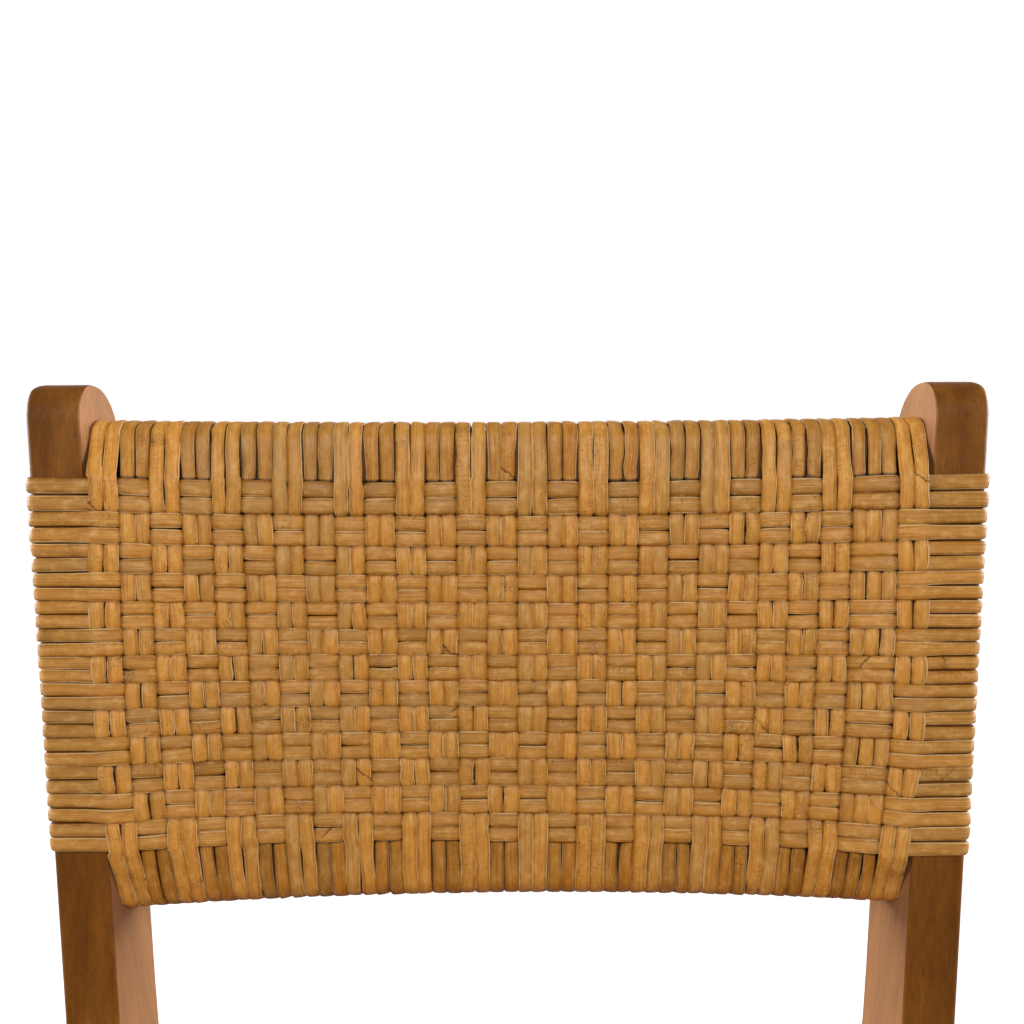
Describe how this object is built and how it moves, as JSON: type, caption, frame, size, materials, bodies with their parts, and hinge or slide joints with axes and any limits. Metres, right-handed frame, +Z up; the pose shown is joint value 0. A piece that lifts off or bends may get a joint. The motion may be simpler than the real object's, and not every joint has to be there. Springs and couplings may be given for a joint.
{
  "type": "rattan dining chair",
  "caption": "Armless dining chair with a dark wood frame, an H stretcher, and a bowed back and dished seat woven from pairs of rattan strands in a basket weave.",
  "frame": {"origin": "on the floor under the middle of the chair's bounding box", "axes": "+Z up, the sitter faces -Y, +X is to the right in a view along +Y"},
  "size_m": [0.5186, 0.5458, 0.85],
  "materials": {
    "frame_wood": "dark brown stain under satin lacquer, fine straight grain",
    "tenon_wood": "bare hardwood, glued in, out of sight",
    "rattan": "natural honey-brown rattan skin, low sheen, long grain, woven in pairs",
    "glide_nylon": "dark moulded nylon"
  },
  "bodies": {
    "root": {"rear_leg_right": "frame_wood", "rear_leg_left": "frame_wood", "front_leg_right": "frame_wood", "front_leg_left": "frame_wood", "seat_side_rail_right": "frame_wood", "seat_side_rail_left": "frame_wood", "side_stretcher_right": "frame_wood", "side_stretcher_left": "frame_wood", "seat_front_rail": "frame_wood", "seat_rear_rail": "frame_wood", "back_top_rail": "frame_wood", "back_bottom_rail": "frame_wood", "cross_stretcher": "frame_wood", "tenon_back_top_right": "tenon_wood", "tenon_back_top_left": "tenon_wood", "tenon_back_bottom_right": "tenon_wood", "tenon_back_bottom_left": "tenon_wood", "tenon_seat_front_right": "tenon_wood", "tenon_seat_front_left": "tenon_wood", "tenon_seat_back_right": "tenon_wood", "tenon_seat_back_left": "tenon_wood", "tenon_side_rail_front_right": "tenon_wood", "tenon_side_rail_front_left": "tenon_wood", "tenon_side_rail_rear_right": "tenon_wood", "tenon_side_rail_rear_left": "tenon_wood", "tenon_stretcher_front_right": "tenon_wood", "tenon_stretcher_front_left": "tenon_wood", "tenon_stretcher_rear_right": "tenon_wood", "tenon_stretcher_rear_left": "tenon_wood", "tenon_cross_stretcher_right": "tenon_wood", "tenon_cross_stretcher_left": "tenon_wood", "rear_glide_right": "glide_nylon", "rear_glide_left": "glide_nylon", "front_glide_right": "glide_nylon", "front_glide_left": "glide_nylon", "back_weave": "rattan", "seat_weave": "rattan"}
  },
  "joints": []
}
